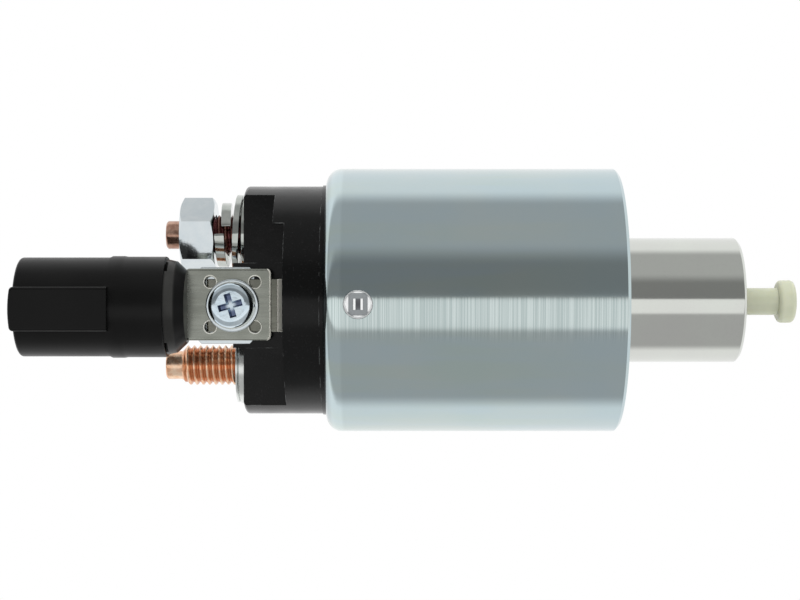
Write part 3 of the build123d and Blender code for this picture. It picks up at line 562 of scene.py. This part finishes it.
def stud_limit(x, end):
    """The stud's largest radius at a station: end chamfer, pilot, cone, thread."""
    along = x - end
    if along < PILOT_LENGTH:
        return PILOT_RADIUS - max(0.0, END_CHAMFER - along)
    cone = (along - PILOT_LENGTH) / CONE_LENGTH
    return min(CREST_RADIUS, PILOT_RADIUS + cone * (CREST_RADIUS - PILOT_RADIUS))


def thread_surface(shape, start, end, height):
    """The rolled thread, spun about the stud's axis past both of its ends."""
    outline = [
        (0.0, ROOT_RADIUS),
        (0.14, ROOT_RADIUS),
        (0.46, CREST_RADIUS - 0.06 * MM),
        (0.50, CREST_RADIUS),
        (0.64, CREST_RADIUS),
        (0.68, CREST_RADIUS - 0.06 * MM),
        (1.0, ROOT_RADIUS),
    ]
    first = end - 2 * THREAD_PITCH
    points = [
        shape.verts.new((first + share * THREAD_PITCH, -radius, height))
        for share, radius in outline
    ]
    lines = [shape.edges.new(pair) for pair in zip(points, points[1:])]
    turns = math.ceil((start - end) / THREAD_PITCH) + 3
    bmesh.ops.spin(
        shape,
        geom=points + lines,
        cent=(first, 0, height),
        axis=(1, 0, 0),
        dvec=(THREAD_PITCH / TURN_STEPS, 0, 0),
        angle=2 * math.pi * turns,
        steps=TURN_STEPS * turns,
        use_merge=False,
    )
    bmesh.ops.remove_doubles(shape, verts=shape.verts, dist=0.004 * MM)


def trim_along(shape, station, keep_higher):
    """Cut a shape square across X and close the cut."""
    bmesh.ops.bisect_plane(
        shape,
        geom=shape.verts[:] + shape.edges[:] + shape.faces[:],
        plane_co=(station, 0, 0),
        plane_no=(1, 0, 0),
        clear_inner=keep_higher,
        clear_outer=not keep_higher,
    )
    rim = [edge for edge in shape.edges if edge.is_boundary]
    rim = [edge for edge in rim if abs(edge.verts[0].co.x - station) < 0.001 * MM]
    bmesh.ops.holes_fill(shape, edges=rim, sides=0)


def threaded_stud(node, material, thread_start):
    """A main stud with its rolled thread, which stands for the plain one."""
    low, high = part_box(node)
    side = 1 if low.z + high.z > 0 else -1
    height = side * stud_height
    shape = bmesh.new()
    thread_surface(shape, thread_start, low.x, height)
    trim_along(shape, thread_start, keep_higher=False)
    trim_along(shape, low.x, keep_higher=True)
    for point in shape.verts:
        out = Vector((0, point.co.y, point.co.z - height))
        limit = stud_limit(point.co.x, low.x)
        if out.length > limit:
            out *= limit / out.length
            point.co = (point.co.x, out.y, out.z + height)
    shank = Matrix.Translation(((thread_start + high.x) / 2, 0, height))
    shank = shank @ Matrix.Rotation(math.pi / 2, 4, "Y")
    bmesh.ops.create_cone(
        shape,
        cap_ends=True,
        segments=48,
        radius1=SHANK_RADIUS,
        radius2=SHANK_RADIUS,
        depth=high.x - thread_start,
        matrix=shank,
    )
    bmesh.ops.recalc_face_normals(shape, faces=shape.faces)
    piece = finish_mesh(node + "_threaded", shape, material, frame["nodes"][node]["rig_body"])
    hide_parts(node)
    return piece


def relief_bead(name, material, centre):
    """The raised bead round one relief of the screw plate."""
    shape = bmesh.new()
    steps = 10
    points = []
    for number in range(steps):
        turn = 2 * math.pi * number / steps
        out = RELIEF_RADIUS + 0.05 * MM + RELIEF_BEAD * math.cos(turn)
        points.append(shape.verts.new(centre + Vector((out, RELIEF_BEAD * math.sin(turn), 0))))
    lines = [shape.edges.new((points[number - 1], points[number])) for number in range(steps)]
    bmesh.ops.spin(
        shape,
        geom=points + lines,
        cent=centre,
        axis=(0, 1, 0),
        dvec=(0, 0, 0),
        angle=2 * math.pi,
        steps=40,
        use_merge=True,
    )
    bmesh.ops.recalc_face_normals(shape, faces=shape.faces)
    return finish_mesh(name, shape, material, frame["nodes"]["connector_terminal"]["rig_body"])


def closing_spring(node):
    """A copy of a coil spring with a mesh of its own, which stands for the node."""
    source = frame["nodes"][node]
    shape = bmesh.new()
    shape.from_mesh(source.data)
    bmesh.ops.remove_doubles(shape, verts=shape.verts, dist=0.002 * MM)
    piece = finish_mesh(node + "_coiled", shape, SPRING_STEEL, source["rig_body"])
    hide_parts(node)
    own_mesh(piece)
    return piece


motor_low, motor_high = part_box("motor_stud_washer")
stud_height = -(motor_low.z + motor_high.z) / 2

CASE_ZINC = plated_case()
PLUNGER_STEEL = ground_steel()
NUT_ZINC = plated_hardware("nut_zinc", (0.61, 0.67, 0.70), (0.66, 0.71, 0.73))
WASHER_ZINC = plated_hardware("washer_zinc", (0.45, 0.48, 0.45), (0.57, 0.59, 0.56))
BARREL_ZINC = plated_hardware("barrel_zinc", (0.74, 0.76, 0.74), (0.84, 0.86, 0.84), 0.20, 0.28)
SCREW_ZINC = screw_zinc()
PLATE_TIN = tinned_strip("plate_tin", (0.295, 0.31, 0.27), (0.355, 0.37, 0.33))
# The switch terminal's tin is a darker copy of the plate's, as painted shade on the relief floors and
# beside the plate
SHADED_STRIP_TIN = tinned_strip("shaded_strip_tin", (0.18, 0.185, 0.155), (0.25, 0.25, 0.215))
CAP_BLACK = moulded_cap()
CONNECTOR_BLACK = satin_nylon()
HOOK_IVORY = ivory_nylon()
UPPER_COPPER = stud_copper(
    "upper_stud_copper",
    "battery_stud",
    stud_height,
    0.35,
    (0.16, 0.05, 0.05),
    (0.44, 0.25, 0.17),
    (0.58, 0.37, 0.28),
)
LOWER_COPPER = stud_copper(
    "lower_stud_copper",
    "motor_stud",
    -stud_height,
    1.0,
    (0.62, 0.25, 0.11),
    (0.95, 0.56, 0.35),
    (1.00, 0.74, 0.54),
)
CORE_IRON = plain_finish("core_iron", (0.33, 0.32, 0.31), (0.42, 0.41, 0.40), 1.0, 0.30, 0.42)
SPRING_STEEL = plain_finish("spring_steel", (0.30, 0.30, 0.30), (0.45, 0.45, 0.44), 1.0, 0.2, 0.3)
CONTACT_COPPER = plain_finish("contact_copper", (0.72, 0.33, 0.20), (0.80, 0.42, 0.28), 1.0, 0.2, 0.32)
SLEEVE_BRASS = plain_finish("sleeve_brass", (0.66, 0.47, 0.20), (0.75, 0.56, 0.27), 1.0, 0.18, 0.3)
BOBBIN_NYLON = plain_finish("bobbin_nylon", (0.42, 0.36, 0.24), (0.50, 0.44, 0.31), 0.0, 0.4, 0.5)
INNER_BLACK = plain_finish("inner_black", (0.010, 0.010, 0.010), (0.02, 0.02, 0.02), 0.0, 0.35, 0.5)
SEAL_RUBBER = plain_finish("seal_rubber", (0.012, 0.012, 0.013), (0.03, 0.03, 0.03), 0.0, 0.55, 0.7)
COIL_WIRE = wound_wire()
# The beads' near-white, half-metal colour is a painted highlight on the reliefs' rims
BEAD_HIGHLIGHT_TIN = plain_finish("bead_highlight_tin", (0.78, 0.78, 0.70), (0.95, 0.95, 0.88), 0.4, 0.2, 0.3)

rounded_copy("plunger", PLUNGER_STEEL, 0.10 * MM)
rounded_copy("plunger_hook", HOOK_IVORY, 0.15 * MM)
rounded_copy("terminal_cap", CAP_BLACK, 0.15 * MM)
rounded_copy("connector_housing", CONNECTOR_BLACK, 0.12 * MM)
rounded_copy("switch_terminal", SHADED_STRIP_TIN, 0.18 * MM, segments=3)
rounded_copy("terminal_nut", NUT_ZINC, 0.12 * MM)
rounded_copy("battery_nut", NUT_ZINC, 0.16 * MM)
rounded_copy("motor_stud_washer", BARREL_ZINC, 0.14 * MM)
for washer in ("battery_flat_washer", "battery_lock_washer"):
    rounded_copy(washer, WASHER_ZINC, 0.14 * MM)
rounded_copy("terminal_screw_washer", NUT_ZINC, 0.28 * MM, segments=4)
for small in ("battery_stud_ring", "terminal_lock_washer"):
    rounded_copy(small, WASHER_ZINC, 0.08 * MM)

threaded_stud("motor_stud", LOWER_COPPER, motor_low.x + 0.1 * MM)
threaded_stud("battery_stud", UPPER_COPPER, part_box("battery_stud_ring")[0].x + 0.1 * MM)

screw_low, screw_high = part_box("terminal_screw_washer")
screw_middle = (screw_low + screw_high) / 2
plate_low, plate_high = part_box("connector_terminal")
plate_face = plate_low.y
for side_x in (-1, 1):
    for side_z in (-1, 1):
        corner = Vector(
            (
                screw_middle.x + side_x * RELIEF_OFFSET,
                plate_face,
                (plate_low.z + plate_high.z) / 2 + side_z * RELIEF_OFFSET,
            )
        )
        relief_bead(f"relief_bead_{side_x + side_z * 2 + 3}", BEAD_HIGHLIGHT_TIN, corner)

for slide in frame["joints"]:
    for spring in slide.get("deforming_nodes", []):
        closing_spring(spring["node"])

PLAIN_FINISHES = {
    "case_shell": CASE_ZINC,
    "connector_terminal": PLATE_TIN,
    "terminal_screw": SCREW_ZINC,
    "fixed_core": CORE_IRON,
    "coil_washer": CORE_IRON,
    "hook_retainer": CORE_IRON,
    "rod_clip": SPRING_STEEL,
    "contact_rod": CORE_IRON,
    "moving_contact": CONTACT_COPPER,
    "guide_sleeve": SLEEVE_BRASS,
    "coil_bobbin": BOBBIN_NYLON,
    "pull_in_winding": COIL_WIRE,
    "hold_in_winding": COIL_WIRE,
    "switch_lead": COIL_WIRE,
    "motor_lead": COIL_WIRE,
    "contact_insulator_front": INNER_BLACK,
    "contact_insulator_rear": INNER_BLACK,
    "cap_gasket": SEAL_RUBBER,
    "battery_stud_seal": SEAL_RUBBER,
    "motor_stud_seal": SEAL_RUBBER,
}
for plain, material in PLAIN_FINISHES.items():
    for slot in frame["nodes"][plain].material_slots:
        slot.material = material


# The plain room, in degrees round the plunger axis from the camera's side upwards
SCREEN_END = 90.0
BACKDROP_START = 110.0
STRIP_LOW = -25.0
STRIP_HIGH = 0.0
DIM_HIGH = 30.0
DIM_END = 50.0
SOFT_EDGE = 3.0
SCREEN_LEVEL = 0.5
DIM_LEVEL = 0.25


def grey(level):
    """A grey of the given brightness."""
    return (level, level, level, 1)


def studio_room():
    """A plain room: white backdrop behind, grey screens before it, one strip lamp below the camera.

    Every reflection shows the same room. Only the camera and clear pieces see white all round.
    """
    world = bpy.data.worlds.new("studio_room")
    world.use_nodes = True
    bpy.context.scene.world = world
    tree = world.node_tree
    background = tree.nodes["Background"]
    parts = add(tree, "SeparateXYZ", Vector=add(tree, "TexCoord").outputs["Generated"]).outputs
    angle = calc(tree, "ARCTAN2", parts[2], calc(tree, "MULTIPLY", parts[1], -1.0))
    degrees = calc(tree, "MULTIPLY", angle, 180.0 / math.pi)
    backdrop = span(tree, calc(tree, "ABSOLUTE", degrees), SCREEN_END, BACKDROP_START)
    room = tint(tree, backdrop, grey(SCREEN_LEVEL), grey(1.0))
    dim = span(tree, degrees, DIM_END, DIM_HIGH)
    above = span(tree, degrees, STRIP_HIGH, STRIP_HIGH + SOFT_EDGE)
    room = tint(tree, calc(tree, "MULTIPLY", dim, above), room, grey(DIM_LEVEL))
    strip = span(tree, degrees, STRIP_LOW - SOFT_EDGE, STRIP_LOW + SOFT_EDGE)
    below = span(tree, degrees, STRIP_HIGH + SOFT_EDGE, STRIP_HIGH)
    room = tint(tree, calc(tree, "MULTIPLY", strip, below), room, grey(1.0))
    light = add(tree, "LightPath").outputs
    seen = tint(tree, light["Is Glossy Ray"], grey(PLAIN_LIGHT), room)
    white = calc(tree, "MAXIMUM", light["Is Camera Ray"], light["Is Transmission Ray"])
    plug(tree, background.inputs["Color"], tint(tree, white, seen, grey(1.0)))
    background.inputs["Strength"].default_value = 1.0


def staged(name, shape, material):
    """A piece of the studio, which isn't part of the object."""
    mesh = bpy.data.meshes.new(name)
    shape.to_mesh(mesh)
    shape.free()
    mesh.materials.append(material)
    made = bpy.data.objects.new(name, mesh)
    bpy.context.scene.collection.objects.link(made)
    return made


def pale_floor():
    """A plain pale floor, which turns white further out for the camera alone."""
    made, tree, shader, place = start("pale_floor", Roughness=0.6)
    parts = add(tree, "SeparateXYZ", Vector=place).outputs
    along = calc(tree, "MULTIPLY_ADD", parts[0], FLOOR_STRETCH, FLOOR_STRETCH * FLOOR_MIDDLE)
    flat = add(tree, "CombineXYZ", X=along, Y=parts[1]).outputs[0]
    away = add(tree, "VectorMath", {"operation": "LENGTH"}, Vector=flat).outputs["Value"]
    cloud = add(tree, "TexNoise", Vector=place, Scale=30.0, Detail=3.0).outputs[0]
    colour = tint(tree, cloud, (0.93, 0.93, 0.93, 1), (0.95, 0.95, 0.95, 1))
    plug(tree, shader.inputs["Base Color"], colour)
    glow = add(tree, "Emission", Color=(1, 1, 1, 1), Strength=1.0)
    seen = add(tree, "LightPath").outputs["Is Camera Ray"]
    white = span(tree, away, WHITE_START, WHITE_FULL)
    blend = add(tree, "MixShader", Fac=calc(tree, "MULTIPLY", seen, white))
    plug(tree, blend.inputs[1], shader.outputs[0])
    plug(tree, blend.inputs[2], glow.outputs[0])
    plug(tree, tree.nodes["Material Output"].inputs["Surface"], blend.outputs[0])
    shape = bmesh.new()
    bmesh.ops.create_grid(shape, x_segments=8, y_segments=8, size=FLOOR_HALF)
    bmesh.ops.translate(shape, vec=(0, 0, FLOOR_LEVEL), verts=shape.verts)
    floor = staged("floor", shape, made)
    floor.visible_glossy = False


def soft_lamp(name, place, target, size, power):
    """A square soft box, aimed at a point."""
    data = bpy.data.lights.new(name, "AREA")
    data.shape = "SQUARE"
    data.size = size
    data.energy = power
    lamp = bpy.data.objects.new(name, data)
    lamp.location = place
    lamp.rotation_euler = (Vector(target) - Vector(place)).to_track_quat("-Z", "Y").to_euler()
    lamp.visible_glossy = False
    bpy.context.scene.collection.objects.link(lamp)


def photograph_camera():
    """The camera at the photograph's place and field of view."""
    data = bpy.data.cameras.new("photograph_camera")
    data.sensor_width = SENSOR
    data.lens = FOCAL_PIXELS / PICTURE_WIDTH * SENSOR
    data.clip_start = 0.01
    camera = bpy.data.objects.new("photograph_camera", data)
    camera.location = CAMERA_PLACE
    camera.rotation_euler = (math.pi / 2, 0, 0)
    bpy.context.scene.collection.objects.link(camera)
    bpy.context.scene.camera = camera


photograph_camera()
studio_room()
pale_floor()
soft_lamp("top_box", LAMP_PLACE, LAMP_TARGET, LAMP_SIZE, LAMP_POWER)
bpy.context.scene.view_settings.view_transform = "Standard"
